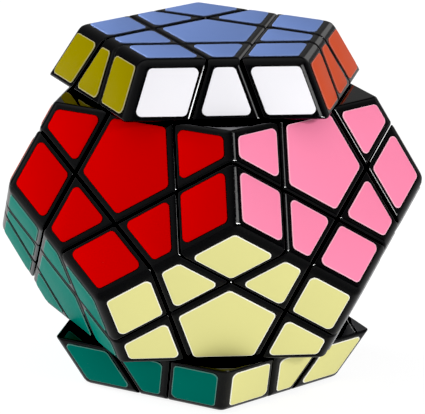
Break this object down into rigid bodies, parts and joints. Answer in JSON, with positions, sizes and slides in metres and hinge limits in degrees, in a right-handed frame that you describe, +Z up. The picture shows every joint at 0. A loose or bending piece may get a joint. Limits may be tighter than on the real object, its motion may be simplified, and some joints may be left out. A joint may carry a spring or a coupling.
{
  "type": "dodecahedron twisty puzzle",
  "caption": "Twelve-sided twisty puzzle standing on one face, with its top and bottom layers turned half a step.",
  "frame": {"origin": "centre of the bottom face, on the surface that the puzzle stands on", "axes": "+Z up along the axis that the top and bottom layers turn about, -Y towards the front, where one lower side face looks straight out, +X to the right"},
  "size_m": [0.0814, 0.0856, 0.07],
  "materials": {
    "corner_plastic": "gloss",
    "edge_plastic": "gloss",
    "centre_plastic": "gloss",
    "cap_plastic": "gloss",
    "core_plastic": "gloss",
    "screw_steel": "satin",
    "spring_steel": "satin"
  },
  "bodies": {
    "middle": {"bottom_screw": "screw_steel", "bottom_spring": "spring_steel", "core_with_side_centres": "core_plastic", "corner_upper1_lower3_lower4": "corner_plastic", "corner_upper1_upper2_lower4": "corner_plastic", "corner_upper1_upper5_lower3": "corner_plastic", "corner_upper2_lower4_lower5": "corner_plastic", "corner_upper2_upper3_lower5": "corner_plastic", "corner_upper3_lower1_lower5": "corner_plastic", "corner_upper3_upper4_lower1": "corner_plastic", "corner_upper4_lower1_lower2": "corner_plastic", "corner_upper4_upper5_lower2": "corner_plastic", "corner_upper5_lower2_lower3": "corner_plastic", "edge_lower1_lower2": "edge_plastic", "edge_lower1_lower5": "edge_plastic", "edge_lower2_lower3": "edge_plastic", "edge_lower3_lower4": "edge_plastic", "edge_lower4_lower5": "edge_plastic", "edge_upper1_lower3": "edge_plastic", "edge_upper1_lower4": "edge_plastic", "edge_upper1_upper2": "edge_plastic", "edge_upper1_upper5": "edge_plastic", "edge_upper2_lower4": "edge_plastic", "edge_upper2_lower5": "edge_plastic", "edge_upper2_upper3": "edge_plastic", "edge_upper3_lower1": "edge_plastic", "edge_upper3_lower5": "edge_plastic", "edge_upper3_upper4": "edge_plastic", "edge_upper4_lower1": "edge_plastic", "edge_upper4_lower2": "edge_plastic", "edge_upper4_upper5": "edge_plastic", "edge_upper5_lower2": "edge_plastic", "edge_upper5_lower3": "edge_plastic", "top_screw": "screw_steel", "top_spring": "spring_steel"},
    "top_layer": {"corner_top_upper1_upper2": "corner_plastic", "corner_top_upper1_upper5": "corner_plastic", "corner_top_upper2_upper3": "corner_plastic", "corner_top_upper3_upper4": "corner_plastic", "corner_top_upper4_upper5": "corner_plastic", "edge_top_upper1": "edge_plastic", "edge_top_upper2": "edge_plastic", "edge_top_upper3": "edge_plastic", "edge_top_upper4": "edge_plastic", "edge_top_upper5": "edge_plastic", "top_centre": "centre_plastic", "top_centre_cap": "cap_plastic"},
    "bottom_layer": {"bottom_centre": "centre_plastic", "bottom_centre_cap": "cap_plastic", "corner_lower1_lower2_bottom": "corner_plastic", "corner_lower1_lower5_bottom": "corner_plastic", "corner_lower2_lower3_bottom": "corner_plastic", "corner_lower3_lower4_bottom": "corner_plastic", "corner_lower4_lower5_bottom": "corner_plastic", "edge_lower1_bottom": "edge_plastic", "edge_lower2_bottom": "edge_plastic", "edge_lower3_bottom": "edge_plastic", "edge_lower4_bottom": "edge_plastic", "edge_lower5_bottom": "edge_plastic"}
  },
  "joints": [
    {"name": "top_layer_turn", "type": "hinge", "parent": "middle", "child": "top_layer", "pos_m": [0, 0, 0.035], "axis": [0, 0, 1], "continuous": true},
    {"name": "bottom_layer_turn", "type": "hinge", "parent": "middle", "child": "bottom_layer", "pos_m": [0, 0, 0.035], "axis": [0, 0, -1], "continuous": true}
  ]
}
